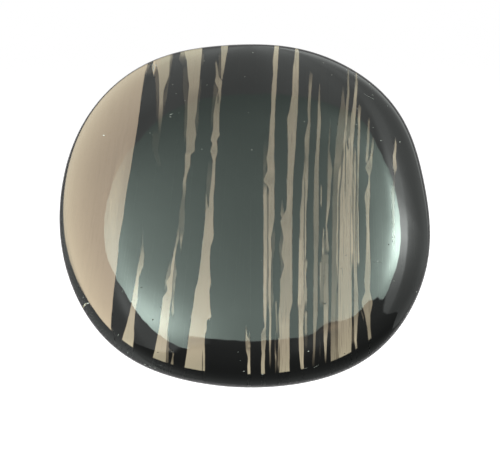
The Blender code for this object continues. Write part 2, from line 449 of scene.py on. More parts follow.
        (7.5, 12.82, 13.47, 0.98), (5.9, 12.47, 13.51, 0.89), (5.7, 12.99, 12.99, 0),
    ),
    "ninth_band": (
        (10.1, 13.52, 13.52, 0), (9.9, 13.36, 13.68, 1), (9, 13.73, 14.1, 0.91),
        (7.3, 12.92, 13.95, 0.93), (5.6, 12.17, 14.02, 0.95), (3.8, 12.01, 13.89, 0.9),
        (0.4, 11.92, 13.8, 0.96), (-3.8, 11.83, 13.98, 0.96), (-6.8, 11.75, 13.76, 0.92),
        (-10.4, 11.96, 13.71, 0.87), (-14.3, 11.92, 13.71, 0.87), (-18.2, 11.93, 13.62, 0.84),
        (-21.7, 12.07, 13.93, 0.8),
    ),
    "tenth_tip": (
        (18.1, 14.37, 14.72, 0.72), (17.7, 14.38, 14.77, 0.7), (16, 14.23, 14.65, 0.94),
        (14.3, 14.05, 14.56, 0.91), (12.7, 13.79, 14.42, 0.91), (11, 13.72, 14.29, 0.87),
        (9.4, 13.44, 14.09, 0.98), (8, 13.54, 14.1, 0.91), (6.9, 13.52, 14.02, 0.86),
        (6.7, 13.77, 13.77, 0),
    ),
    "eleventh_top": (
        (14.8, 14.95, 14.95, 0), (14.6, 14.92, 14.98, 0.51), (14.1, 14.7, 15.2, 0.61),
        (12.5, 14.69, 15.02, 1), (10.3, 14.67, 15, 0.86), (7.4, 14.5, 14.87, 0.91),
        (3.9, 14.56, 14.74, 0.84), (1.6, 14.55, 14.66, 1), (-6.7, 14.48, 14.73, 0.93),
        (-7.5, 14.54, 14.61, 0),
    ),
    "eleventh_left": (
        (9.5, 14.27, 14.27, 0), (9.3, 14.23, 14.31, 0.23), (8.3, 14.28, 14.38, 1),
        (5.6, 14.09, 14.56, 0.86), (3.6, 14.29, 14.37, 1), (3.4, 14.33, 14.33, 0),
    ),
    "eleventh_band": (
        (4.7, 14.19, 14.19, 0), (4.5, 13.79, 14.59, 0.71), (2.9, 14.12, 14.43, 0.94),
        (-7.2, 14.06, 14.41, 1), (-7.9, 14, 14.39, 0.9), (-11.1, 14.01, 14.53, 0.68),
        (-13.6, 13.95, 14.54, 0.72), (-16.9, 13.96, 14.29, 0.96), (-18, 14.09, 14.37, 0.62),
        (-18.7, 14.3, 14.35, 0.4),
    ),
    "twelfth_left": (
        (13, 16.18, 16.18, 0), (12.8, 16.17, 16.19, 0.43), (12.3, 16.03, 16.28, 0.69),
        (10.8, 15.89, 16.23, 0.68), (9, 15.81, 16.14, 0.77), (7.4, 15.67, 16.04, 0.9),
        (6.7, 15.63, 15.94, 0.78), (6.3, 15.81, 15.93, 0.18), (6.1, 15.87, 15.87, 0),
    ),
    "twelfth_band": (
        (10.2, 16.66, 16.66, 0), (10, 16.52, 16.81, 0.43), (9, 16.43, 16.79, 0.66),
        (7.4, 16.25, 16.55, 0.89), (5.9, 15.55, 16.49, 0.69), (4.8, 16.05, 16.2, 0.86),
        (3.9, 15.94, 16.21, 0.91), (2.1, 15.46, 16.2, 0.86), (-0.2, 15.63, 16.04, 0.92),
        (-3.5, 15.68, 16.08, 0.95), (-6.8, 15.51, 16.17, 0.79), (-9, 15.31, 16.13, 0.73),
        (-10.6, 15.41, 16.06, 0.75), (-11.9, 14.92, 16.4, 0.77), (-13.6, 15.33, 16.09, 0.78),
        (-15.2, 15.61, 16.08, 0.67), (-16.9, 15.75, 16.22, 0.7), (-17.3, 15.95, 16.04, 0.93),
    ),
    "twelfth_splinter": (
        (-11.7, 15.17, 15.17, 0), (-11.9, 15.14, 15.2, 0.13), (-12.7, 14.7, 14.93, 0.28),
        (-14, 15.09, 15.23, 0.55), (-14.7, 15.14, 15.19, 0),
    ),
    "front_strand": (
        (-16.1, 9.58, 9.68, 0), (-16.9, 9.56, 9.7, 0.22), (-18.5, 9.54, 9.68, 0.28),
        (-19.7, 9.54, 9.65, 0),
    ),
    "outlier": (
        (10.5, 19.58, 19.58, 0), (10.3, 19.57, 19.59, 0.5), (10, 19.49, 19.63, 1),
        (9.1, 19.36, 19.76, 0.89), (7.4, 19.11, 19.61, 0.99), (5.9, 19.13, 19.76, 0.84),
        (5.1, 19.34, 19.5, 0.63), (4.6, 19.21, 19.45, 0.32), (3, 18.91, 19.39, 0.51),
        (-3.7, 19.07, 19.31, 0.52), (-5.3, 19.01, 19.22, 0),
    ),
    "front_hair": (
        (-11.4, 4.07, 4.07, 0), (-11.6, 4.04, 4.09, 0.17), (-12.1, 3.89, 4.15, 0.72),
        (-15.5, 4.04, 4.15, 0.66), (-16.3, 3.8, 4.04, 0.2), (-17.9, 3.81, 4.03, 0.41),
        (-19, 3.9, 4.08, 0.83), (-19.8, 3.89, 4.06, 0.54), (-20.5, 3.85, 4.08, 0.4),
        (-21.7, 3.88, 3.95, 0),
    ),
    "front_thread": (
        (-16.4, 4.21, 4.31, 0), (-17.2, 4.22, 4.34, 0.47), (-18.5, 4.33, 4.38, 0.48),
        (-20.3, 4.41, 4.36, 0.47), (-21, 4.3, 4.35, 0),
    ),
    "fourth_haze": (
        (3.4, 2.84, 3.1, 0), (2.1, 2.76, 3.17, 0.65), (-3.8, 2.74, 3.13, 0.64),
        (-8.4, 2.74, 3.14, 0.67), (-11.7, 2.71, 3.1, 0.62), (-13.3, 2.76, 3.07, 0),
    ),
    "sixth_strand": (
        (-5.5, 7.49, 7.75, 0), (-6.7, 7.42, 8.07, 0.85), (-8.4, 7.43, 7.87, 0.99),
        (-10.1, 7.45, 7.98, 0.84), (-11.7, 7.49, 8.01, 0.85), (-13.3, 7.57, 7.9, 0),
    ),
    "eighth_haze": (
        (-3, 10.21, 10.41, 0), (-4, 10.17, 10.48, 0.53), (-5.4, 10.03, 10.37, 0.55),
        (-6.7, 9.81, 10.26, 0.64), (-11.7, 9.59, 10.08, 0.54), (-13, 9.61, 10.02, 0),
    ),
    "eleventh_haze": (
        (8.6, 13.92, 14.57, 0), (6.7, 13.8, 14.58, 0.58), (2.9, 13.71, 14.51, 0.66),
        (0.2, 13.64, 14.55, 0.73), (-5.1, 13.54, 14.54, 0.8), (-6.7, 13.55, 14.49, 0.71),
        (-8.3, 13.69, 14.36, 0),
    ),
    "ninth_haze": (
        (13.8, 13.41, 13.8, 0), (12.7, 13.29, 13.79, 0.48), (11, 13.22, 13.77, 0.63),
        (9.9, 13.18, 13.73, 0.6), (8.8, 13.28, 13.67, 0),
    ),
    "eleventh_glint": (
        (2.1, 13.65, 13.76, 0), (0.8, 13.56, 13.77, 0.97), (-2.4, 13.51, 13.92, 1),
        (-5.4, 13.54, 13.98, 1), (-7.2, 13.55, 13.7, 0),
    ),
    "ninth_gap": (
        (-14.5, 13.73, 13.99, 0), (-15.3, 13.62, 14.01, 0.39), (-16.9, 13.59, 13.98, 0.36),
        (-17.7, 13.64, 13.9, 0),
    ),
    "second_edge": (
        (20.4, -7.93, -7.59, 0), (19.3, -8.05, -7.4, 0.3), (16.5, -8.06, -7.33, 0.36),
        (14.4, -7.78, -7.29, 0.4), (12.3, -7.82, -7.4, 0.42), (10.3, -7.86, -7.47, 0.42),
        (8.8, -7.85, -7.59, 0),
    ),
    "second_shade": (
        (19, -5.89, -5.76, 0), (17.6, -6.01, -5.66, 0.34), (16.5, -6.07, -5.66, 0.38),
        (14.4, -6.27, -5.93, 0.34), (12.3, -6.47, -5.97, 0.44), (11, -6.5, -6.11, 0.3),
        (9.9, -6.43, -6.25, 0),
    ),
    "second_cap": (
        (22, -5.72, -5.46, 0), (21.4, -5.78, -5.29, 0.36), (20.4, -5.77, -5.31, 0.36),
        (19.4, -5.76, -5.57, 0),
    ),
    "third_cap": (
        (22.1, -3.38, -3.12, 0), (20.9, -3.4, -3.06, 0.36), (18.5, -3.45, -3.08, 0.46),
        (17.3, -3.34, -3.13, 0),
    ),
    "third_edge": (
        (18.1, -3.92, -3.6, 0), (17, -4.02, -3.42, 0.42), (16.2, -4.04, -3.52, 0.46),
        (14.4, -4.27, -3.88, 0.34), (12.3, -4.38, -4.08, 0.34), (10.7, -4.44, -4.18, 0),
    ),
    "upper_glow": (
        (19.9, -11.82, -11.34, 0), (19, -11.8, -11.22, 0.42), (16.5, -11.53, -11.14, 0.46),
        (14.4, -11.48, -11.17, 0.42), (12.9, -11.44, -11.21, 0.3), (11.8, -11.38, -11.25, 0),
    ),
    "upper_shade": (
        (17.3, -10.59, -10.39, 0), (16.2, -10.59, -10.19, 0.4), (14.4, -10.73, -10.41, 0.44),
        (12.9, -10.82, -10.61, 0.3), (12.1, -10.78, -10.68, 0),
    ),
    "fourth_shade": (
        (-1.7, 3.52, 3.91, 0), (-3, 3.44, 3.93, 0.44), (-4.6, 3.39, 3.9, 0.42),
        (-6.7, 3.39, 3.64, 0.34), (-9.7, 3.38, 3.64, 0.4), (-11.7, 3.35, 3.71, 0.5),
        (-13, 3.37, 3.65, 0.3), (-13.8, 3.45, 3.58, 0),
    ),
    "fifth_shade": (
        (-13.3, 4.11, 4.32, 0), (-14, 4.09, 4.37, 0.44), (-15.6, 4.08, 4.39, 0.46),
        (-16.7, 4.13, 4.36, 0.2), (-17.2, 4.18, 4.26, 0),
    ),
    "fifth_edge": (
        (-16.1, 4.36, 4.52, 0), (-16.8, 4.3, 4.54, 0.95), (-17.6, 4.29, 4.52, 0.75),
        (-18.5, 4.21, 4.5, 0.58), (-20, 4.18, 4.49, 0.6), (-21.3, 4.26, 4.44, 0),
    ),
    "sixth_glint": (
        (-2.2, 7.05, 7.25, 0), (-3.8, 7.03, 7.37, 0.98), (-6.7, 6.92, 7.31, 1), (-12.2, 6.81, 7.24, 1),
        (-14, 6.85, 7.18, 0),
    ),
    "sixth_shade": (
        (-15.3, 7.66, 7.92, 0), (-16.1, 7.63, 8.02, 0.34), (-17.4, 7.66, 8.01, 0.3),
        (-18.5, 7.7, 7.96, 0),
    ),
    "upper_fill": (
        (21.3, -11.67, -11.36, 0.8), (20.5, -11.83, -11.35, 0.85), (19.8, -11.79, -11.39, 0.75),
        (19, -11.77, -11.43, 0.45), (18.2, -11.71, -11.45, 0),
    ),
    "upper_mist": (
        (20.2, -12.79, -12.14, 0), (19.6, -12.85, -12.06, 0.22), (18.9, -12.96, -12.06, 0.28),
        (18.2, -12.89, -12.23, 0),
    ),
}
print("ribbons of clear glass:", len(RIBBONS))

# %% Stations of the dark threads
# Inside the ribbons run threads of dark glass: the last number is how dark they are.
THREADS = {
    "third_wedge": (
        (16.2, -3.46, -3.46, 0), (16, -3.48, -3.45, 0.6), (15.3, -3.51, -3.4, 0.75),
        (14.7, -3.5, -3.42, 0.5), (14.4, -3.46, -3.45, 0),
    ),
    "third_line": (
        (-18, -5.35, -5.35, 0), (-18.2, -5.37, -5.33, 0.2), (-19.2, -5.4, -5.29, 0.5),
        (-20.9, -5.41, -5.29, 0.5), (-22.1, -5.39, -5.31, 0.5),
    ),
    "sixth_line": (
        (5, 7.77, 7.77, 0), (4.8, 7.75, 7.79, 0.2), (3.4, 7.71, 7.82, 0.55), (-3.8, 7.61, 7.72, 0.45),
        (-9.9, 7.59, 7.68, 0.4), (-10.9, 7.61, 7.65, 0),
    ),
    "ninth_line": (
        (9.8, 13.12, 13.12, 0), (9.6, 13.05, 13.18, 0.2), (8.6, 13.01, 13.17, 0.6),
        (5.9, 12.99, 13.11, 0.55), (2.9, 12.94, 13.03, 0.4), (1.6, 12.95, 12.99, 0),
    ),
    "ninth_left_line": (
        (8.5, 12.7, 12.7, 0), (8.3, 12.6, 12.8, 0.35), (4.8, 12.41, 12.62, 0.45),
        (2.1, 12.13, 12.33, 0.5), (-3.8, 12, 12.24, 0.5), (-9.6, 11.89, 12.01, 0.4),
        (-11.7, 11.9, 11.98, 0),
    ),
    "ninth_right_line": (
        (2.3, 13.67, 13.67, 0), (2.1, 13.63, 13.71, 0.2), (-0, 13.58, 13.67, 0.3),
        (-6.7, 13.53, 13.62, 0.3), (-8.3, 13.54, 13.58, 0),
    ),
    "eleventh_line": (
        (9.6, 14.53, 14.53, 0), (9.4, 14.39, 14.66, 0.1), (7, 14.38, 14.61, 0.6),
        (4, 14.41, 14.54, 0.6), (1.6, 14.27, 14.37, 0.5), (-3.8, 14.18, 14.3, 0.5),
        (-7.5, 14.21, 14.29, 0.3), (-9.6, 14.21, 14.25, 0),
    ),
    "eleventh_second": (
        (3.6, 14.52, 14.52, 0), (3.4, 14.47, 14.57, 0.5), (-1.1, 14.41, 14.52, 0.6),
        (-6.7, 14.39, 14.47, 0.6), (-7.5, 14.39, 14.45, 0),
    ),
}
print("dark threads inside the ribbons:", len(THREADS))

# %% [markdown]
# ## Small helpers for shader nodes
# A material is a chain of small sums. Three helpers keep the chains readable: one places a node
# and wires it, one does arithmetic, and one opens a node group with named inputs and outputs.

# %% Helpers for nodes
def wire(tree, socket, value):
    """Links an output to the socket, or sets the socket to a plain number, colour or vector."""
    if isinstance(value, bpy.types.NodeSocket):
        tree.links.new(value, socket)
    elif value is not None:
        socket.default_value = value


def place(tree, kind, values=(), **settings):
    """Adds a node, sets it up, and wires its inputs by name or number."""
    node = tree.nodes.new("ShaderNode" + kind)
    for name, setting in settings.items():
        setattr(node, name, setting)
    for name, value in dict(values).items():
        wire(tree, node.inputs[name], value)
    return node


def maths(tree, operation, *values):
    """One step of arithmetic. Gives back its result, ready for the next step."""
    return place(tree, "Math", dict(enumerate(values)), operation=operation).outputs[0]


def ramp_between(tree, value, low, high, to_low=0.0, to_high=1.0, smooth=True):
    """Turns a range of values into another, held at both ends."""
    kind = "SMOOTHSTEP" if smooth else "LINEAR"
    return place(
        tree, "MapRange", {0: value, 1: low, 2: high, 3: to_low, 4: to_high}, interpolation_type=kind
    ).outputs[0]


def open_group(name, inputs, outputs):
    """A new node group: its tree, its input node and its output node."""
    group = bpy.data.node_groups.new(name, "ShaderNodeTree")
    for socket, kind, value in inputs:
        made = group.interface.new_socket(socket, in_out="INPUT", socket_type="NodeSocket" + kind)
        made.default_value = value
    for socket, kind in outputs:
        group.interface.new_socket(socket, in_out="OUTPUT", socket_type="NodeSocket" + kind)
    return group, group.nodes.new("NodeGroupInput"), group.nodes.new("NodeGroupOutput")


def use_group(tree, group, values):
    """Places a node group in a material with its own values."""
    node = tree.nodes.new("ShaderNodeGroup")
    node.node_tree = group
    for name, value in values.items():
        wire(tree, node.inputs[name], value)
    return node


# %% [markdown]
# ## Where a point is in the flow
# Every marking needs to know where it is in the stone. The ribbons stand a little slanted, so a
# point's height moves it along them. They also fan out: on the left they lean outward towards
# the front edge, on the right they run straight. One group turns a place in mm into three
# numbers: across the stone, along it, and which line of the flow the point lies on.

# %% Group: place in the flow
SPAN = 24.0
LEAN = 0.176

flow, given, result = open_group(
    "place_in_the_flow",
    [("Place", "Vector", (0, 0, 0)), ("Lean", "Float", LEAN)],
    [("Across", "Float"), ("Along", "Float"), ("Line", "Float"), ("Level", "Float")],
)
axes = place(flow, "SeparateXYZ", {0: given.outputs["Place"]})
along = maths(flow, "MULTIPLY_ADD", axes.outputs[2], given.outputs["Lean"], axes.outputs[1])
fan = maths(flow, "MULTIPLY_ADD", along, -0.056, axes.outputs[0])
spread = maths(flow, "MULTIPLY_ADD", along, -0.0048, 1.0)
wire(flow, result.inputs["Across"], maths(flow, "DIVIDE", axes.outputs[0], SPAN))
wire(flow, result.inputs["Along"], maths(flow, "DIVIDE", along, SPAN))
wire(flow, result.inputs["Line"], maths(flow, "DIVIDE", fan, spread))
wire(flow, result.inputs["Level"], axes.outputs[2])
print("group:", flow.name)

# %% [markdown]
# ## Grain drawn out by the flow
# The edges of a ribbon are not cut with a knife. The clear and the dark glass were kneaded
# together, so the edges are feathered into flames, and fine hairs run along them. A noise
# pattern that is squeezed across the flow and stretched along it gives both: read coarsely it
# sways the edges, read finely it makes the hairs.

# %% Group: drawn-out grain
grain, given, result = open_group(
    "drawn_out_grain",
    [
        ("Line", "Float", 0.0),
        ("Along", "Float", 0.0),
        ("Threads per mm", "Float", 3.0),
        ("Length in mm", "Float", 4.0),
        ("Detail", "Float", 2.0),
    ],
    [("Grain", "Float")],
)
squeezed = maths(grain, "MULTIPLY", given.outputs["Line"], given.outputs["Threads per mm"])
metres = maths(grain, "MULTIPLY", given.outputs["Along"], SPAN)
stretched = maths(grain, "DIVIDE", metres, given.outputs["Length in mm"])
lengthways = place(grain, "CombineXYZ", {0: squeezed, 1: stretched})
threads = place(
    grain,
    "TexNoise",
    {"Vector": lengthways.outputs[0], "Scale": 1.0, "Detail": given.outputs["Detail"]},
    noise_dimensions="2D",
)
wire(grain, result.inputs["Grain"], threads.outputs[0])
print("group:", grain.name)

# %% [markdown]
# ## One ribbon
# A ribbon is the space between its two edges. This group says how far inside them a point is,
# and fades to nothing over the width of the feathering.

# %% Group: body of a ribbon
ribbon_body, given, result = open_group(
    "ribbon_body",
    [
        ("Across", "Float", 0.0),
        ("Left", "Float", 0.0),
        ("Right", "Float", 0.0),
        ("Clearness", "Float", 1.0),
        ("Feather", "Float", 0.004),
    ],
    [("Clear", "Float")],
)
from_left = maths(ribbon_body, "SUBTRACT", given.outputs["Across"], given.outputs["Left"])
from_right = maths(ribbon_body, "SUBTRACT", given.outputs["Right"], given.outputs["Across"])
inside = maths(ribbon_body, "MINIMUM", from_left, from_right)
half = maths(ribbon_body, "MULTIPLY", given.outputs["Feather"], 0.5)
body = ramp_between(ribbon_body, inside, maths(ribbon_body, "MULTIPLY", half, -1.0), half)
wire(ribbon_body, result.inputs["Clear"], maths(ribbon_body, "MULTIPLY", body, given.outputs["Clearness"]))
print("group:", ribbon_body.name)

# %% [markdown]
# ## From stations to edges
# A curve node can hold the stations of one ribbon: fed with the place along the stone, it gives
# back the left edge, the right edge and the clearness. The points are joined by straight lines,
# because the real edges are made of long straight splinters.

# %% Curve for each ribbon
def ribbon_curve(tree, stations, along):
    """A curve node that reads off the edges and the clearness at a place along the stone."""
    node = tree.nodes.new("ShaderNodeVectorCurve")
    node.mapping.extend = "HORIZONTAL"
    rows = [(v / SPAN, left / SPAN, right / SPAN, clear) for v, left, right, clear in stations]
    for column in range(3):
        curve = node.mapping.curves[column]
        while len(curve.points) < len(rows):
            curve.points.new(0.0, 0.0)
        for point, row in zip(curve.points, rows):
            point.location = (row[0], max(-1.0, row[column + 1]))
            point.handle_type = "VECTOR"
    node.mapping.update()
    wire(tree, node.inputs["Vector"], along)
    return node


# %% [markdown]
# ## Ribbons that share a curve
# A renderer can only hold so many curves in one material. Many splinters are short, and lie one
# behind the other along the stone. Such splinters can share a curve: each closes with a
# clearness of nothing, so the glass stays dark from the end of one to the start of the next.

# %% Lanes of ribbons
LANE_GAP = 0.3


def lanes_of(table):
    """Puts ribbons that follow each other into one list of stations."""
    lanes = []
    for stations in sorted(sorted(rows) for rows in table.values()):
        opening = stations[0]
        for lane in lanes:
            closing = lane[-1]
            if closing[3] == opening[3] == 0 and opening[0] > closing[0] + LANE_GAP:
                lane.extend(stations)
                break
        else:
            lanes.append(stations)
    return lanes


print("curves for the ribbons:", len(lanes_of(RIBBONS)), "for the threads:", len(lanes_of(THREADS)))

# %% [markdown]
# ## Banded obsidian
# The dark glass is full of grains of magnetite, too small to see, so it swallows light within a
# fraction of a millimetre. The clear glass is smoky: a thin edge of it is the colour of straw,
# and three millimetres are brown. So the material is a real see-through glass. Its colour is
# near black where it is dark and straw where it is clear, and the volume takes away more light
# the longer the way through.

# %% Material of the stone
banded = bpy.data.materials.new("banded_obsidian")
banded.use_nodes = True
tree = banded.node_tree
shader = tree.nodes["Principled BSDF"]

coords = place(tree, "TexCoord")
in_mm = place(tree, "VectorMath", {0: coords.outputs["Object"], 1: (1000.0,) * 3}, operation="MULTIPLY")
from_middle = place(
    tree, "VectorMath", {0: in_mm.outputs[0], 1: tuple(MIDDLE)}, operation="SUBTRACT"
)
spot = use_group(tree, flow, {"Place": from_middle.outputs[0]})
fray = use_group(
    tree,
    grain,
    {"Line": spot.outputs["Line"], "Along": spot.outputs["Along"], "Threads per mm": 3.5, "Length in mm": 2.2},
)
hairs = use_group(
    tree,
    grain,
    {"Line": spot.outputs["Line"], "Along": spot.outputs["Along"], "Threads per mm": 4.5, "Length in mm": 14.0},
)

# Sway the edges by up to a twentieth of a millimetre.
sway = maths(tree, "MULTIPLY_ADD", fray.outputs[0], 0.12 / SPAN, -0.06 / SPAN)
swayed = maths(tree, "ADD", spot.outputs["Across"], sway)
along_three = place(tree, "CombineXYZ", {i: spot.outputs["Along"] for i in range(3)})



def strongest(table):
    """Lays every ribbon of a table into the material and keeps the clearest at each point."""
    most = None
    for stations in lanes_of(table):
        curve = ribbon_curve(tree, stations, along_three.outputs[0])
        edges = place(tree, "SeparateXYZ", {0: curve.outputs[0]})
        values = {
            "Across": swayed,
            "Left": edges.outputs[0],
            "Right": edges.outputs[1],
            "Clearness": edges.outputs[2],
            "Feather": 0.11 / SPAN,
        }
        one = use_group(tree, ribbon_body, values).outputs[0]
        most = one if most is None else maths(tree, "MAXIMUM", most, one)
    return most


clear = maths(tree, "MULTIPLY", strongest(RIBBONS), maths(tree, "SUBTRACT", 1.0, strongest(THREADS)))
print("nodes in the stone's material:", len(tree.nodes))

# %% Colour of the glass
# A hairline runs wherever the grain crosses its middle value. The left window has none.
off_hair = maths(tree, "ABSOLUTE", maths(tree, "SUBTRACT", hairs.outputs[0], 0.5))
hairline = ramp_between(tree, off_hair, 0.004, 0.03, 1.0, 0.0)
haired = ramp_between(tree, spot.outputs["Line"], -3.0, 11.0, 0.03, 0.16)
dim = maths(tree, "SUBTRACT", 1.0, maths(tree, "MULTIPLY", hairline, haired))
dimmed = maths(tree, "MULTIPLY", clear, dim)
# The dark glass keeps a few faint hairs of its own.
faint = ramp_between(tree, hairs.outputs[0], 0.6, 0.75, 0.0, 0.05)
glass_clear = maths(tree, "MAXIMUM", dimmed, faint)
# In the last third of a millimetre of the rim the glass is painted clearer: painted light,
# standing in for the light that shows through the thin edge.
painted_rim_light = ramp_between(tree, maths(tree, "ABSOLUTE", spot.outputs["Level"]), 0.2, 0.75, 0.8, 0.0)
glass_clear = maths(tree, "MAXIMUM", glass_clear, painted_rim_light)
tint = place(tree, "ValToRGB", {0: glass_clear})
tint.color_ramp.elements[0].color = (0.0004, 0.0004, 0.0003, 1)
tint.color_ramp.elements[1].color = (1.0, 0.88, 0.6, 1)
for stop, colour in (
    (0.12, (0.006, 0.0052, 0.0035, 1)),
    (0.35, (0.098, 0.084, 0.056, 1)),
    (0.60, (0.30, 0.258, 0.168, 1)),
    (0.85, (0.66, 0.59, 0.40, 1)),
):
    tint.color_ramp.elements.new(stop).color = colour
# The wide window at the left is the warmest glass: the ribbons right of it are greener.
greener = ramp_between(tree, spot.outputs["Line"], -14.0, -13.0)
toned = place(
    tree, "MixRGB", {0: greener, 1: tint.outputs[0], 2: (0.93, 1.0, 1.0, 1)}, blend_type="MULTIPLY"
)
wire(tree, shader.inputs["Base Color"], toned.outputs[0])

# %% [markdown]
# ## The polish
# A hand polish is bright but not perfect. Under a lamp it has a very slight swell, like the skin
# of an orange seen from far away. A faint bump gives that, and the gloss changes a
# little from place to place where a thumb has been.

# %% Gloss and swell of the polish
smudges = place(tree, "TexNoise", {"Vector": from_middle.outputs[0], "Scale": 0.35, "Detail": 3.0})
wire(tree, shader.inputs["Roughness"], ramp_between(tree, smudges.outputs[0], 0.35, 0.7, 0.012, 0.03))
swell = place(tree, "TexNoise", {"Vector": from_middle.outputs[0], "Scale": 0.5, "Detail": 1.0})
bump = place(tree, "Bump", {"Height": swell.outputs[0], "Strength": 1.0, "Distance": 0.000004})
wire(tree, shader.inputs["Normal"], bump.outputs[0])
shader.inputs["Metallic"].default_value = 0.0
shader.inputs["Transmission Weight"].default_value = 1.0
shader.inputs["IOR"].default_value = 1.49

smoke = place(tree, "VolumeAbsorption", {"Color": (0.2, 0.113, 0.137, 1), "Density": 300.0})
wire(tree, tree.nodes["Material Output"].inputs["Volume"], smoke.outputs[0])
stone_mesh.materials.append(banded)

# %% [markdown]
# ## Flecks on the polish
# No hand polish is clean. Grit has broken out tiny chips, and the crushed glass in them looks
# white; a few scratches run over the right side, and the lower rim is bruised. Here and there a
# small pit is marked by a dark speck: painted shade, standing in for the shadow inside the pit.
# They could be painted into the glass, but crushed glass scatters light and the clear glass must
# not, so each one is a lens a few hundredths of a millimetre thick, let into the skin.

# %% Lists of flecks
# (across, along, half length, half width in mm, turned by so many degrees, share of full size)
PALE_FLECKS = (
    (-15.82, 4.85, 0.08, 0.065, 0, 0.5),
    (-12.28, 10.15, 0.1, 0.078, 0, 0.5), (-11.98, 9.89, 0.06, 0.039, 0, 0.5),
    (-9.6, 12.66, 0.44, 0.058, 22, 0.9), (-9.63, 12.33, 0.28, 0.052, -10, 0.8),
    (-8.53, 12.85, 0.13, 0.032, 20, 0.4), (-5.52, 7.86, 0.21, 0.058, -10, 0.5),
    (-9.38, 16.86, 0.18, 0.052, 0, 0.4), (-8.94, 15.57, 0.13, 0.091, -50, 0.4),
    (-7.76, 14.58, 0.13, 0.065, 0, 0.4), (-4.9, 16.74, 0.16, 0.078, 30, 0.35),
    (-5.29, 20.26, 0.1, 0.065, 0, 0.4), (1.08, 21.45, 0.13, 0.078, 0, 0.5),
    (0.05, 17.92, 0.1, 0.078, 0, 0.4), (0.96, 7.77, 0.14, 0.078, -10, 0.6),
    (0.53, 12.85, 0.08, 0.065, 0, 0.4), (7.77, 11.65, 0.09, 0.078, 0, 0.5),
    (10.34, 20.09, 0.1, 0.065, 0, 0.5), (11.4, 18.32, 0.12, 0.078, 0, 0.5),
    (16.37, 17.32, 0.25, 0.104, -45, 0.7), (16.68, 15.66, 0.18, 0.065, -10, 0.5),
    (17.74, 9.27, 0.22, 0.078, -10, 0.8), (20.18, 9.23, 0.14, 0.117, -50, 0.8),
    (16.7, 11.04, 0.17, 0.065, 0, 0.4), (14.56, 11.38, 0.34, 0.058, 0, 0.5),
    (14.68, 13.59, 0.23, 0.039, 0, 0.4), (18.66, 14.23, 0.16, 0.078, -20, 0.4),
    (2.18, -7.01, 0.09, 0.078, 0, 0.5), (17.1, -6.97, 0.19, 0.091, 20, 1),
    (8.13, -18.69, 0.18, 0.117, 0, 0.8), (-16.17, -16.45, 0.25, 0.065, 80, 0.6),
    (16.06, 15.5, 1.12, 0.029, -32, 0.6), (16.71, 15.18, 0.42, 0.026, -38, 0.6),
    (9.11, -20.58, 0.78, 0.032, 30, 0.4), (7.83, -20.78, 0.52, 0.032, 15, 0.4),
    (-0.84, -18.83, 0.14, 0.052, 0, 0.6), (-20.72, -11.42, 0.18, 0.078, -30, 0.6),
    (22.11, -10.64, 0.22, 0.091, 65, 0.5), (20.9, -13.38, 0.22, 0.091, 50, 0.5),
    (-12.74, -20.15, 0.29, 0.091, -25, 0.6), (-12.09, -20.41, 0.23, 0.078, -20, 0.6),
    (-11.45, -20.64, 0.23, 0.065, -15, 0.5), (-10.74, -20.35, 0.19, 0.065, -20, 0.4),
    (-14.97, -18.63, 0.18, 0.091, -40, 0.5), (-0.08, -21.23, 0.25, 0.091, 0, 0.5),
    (2.29, -21.6, 0.19, 0.065, 0, 0.8), (-4.48, -14.72, 0.09, 0.143, 0, 0.6),
    (-11.92, 19.38, 0.8, 0.097, 86, 1), (-11.57, 19.75, 0.47, 0.065, 118, 0.9),
    (-12.06, 19.94, 0.39, 0.065, 70, 0.9),
)
BRIGHT_CHIPS = (
    (-18.33, 10.02, 0.17, 0.12, 0, 1), (-20.55, -12.4, 0.5, 0.16, 38, 1),
    (-20.14, -12.23, 0.22, 0.09, 15, 1),
)
# Dark specks where the polish has small pits: painted shade, standing in for the shadow inside each pit.
PIT_SHADE_SPECKS = (
    (-13.21, -10.44, 0.21, 0.104, -15, 1), (-11.73, -14.63, 0.16, 0.13, 0, 1),
    (5.85, 10.21, 0.1, 0.091, 0, 1), (10.28, -12.58, 0.25, 0.156, 0, 1),
    (13.01, -6.29, 0.12, 0.104, 0, 1), (12.45, -8.03, 0.1, 0.078, 0, 1),
    (19.22, -9.47, 0.12, 0.117, 0, 1), (18.53, -4.73, 0.12, 0.117, 0, 1),
    (12.77, -18.92, 0.1, 0.104, 0, 1), (-10.78, -13.03, 0.1, 0.091, 0, 1),
    (-11.06, -18.78, 0.19, 0.052, 0, 1), (17.46, -7.1, 0.12, 0.078, 0, 1),
    (16.73, -7.09, 0.1, 0.078, 0, 1), (-15.63, -10.87, 0.14, 0.234, 0, 1),
    (-0.54, -19.9, 0.12, 0.065, 0, 1),
)
print("pale flecks:", len(PALE_FLECKS), "painted pit shade:", len(PIT_SHADE_SPECKS))

# %% Shape of the flecks
CORNERS = 9
LENS_RISE = 0.008
FLECK_SCALE = 0.72
RING_RISE = 0.003
chance = np.random.default_rng(7)


def on_dome(across, along, rise):
    """A point on the dome, lifted by so many mm."""
    angle, out_by = np.arctan2(along, across), np.hypot(across, along)
    share = np.minimum(out_by / rim_reach(np.atleast_1d(angle))[0], 0.998)
    return MIDDLE + Vector((across, along, DOME_HEIGHT * section(share) + rise))


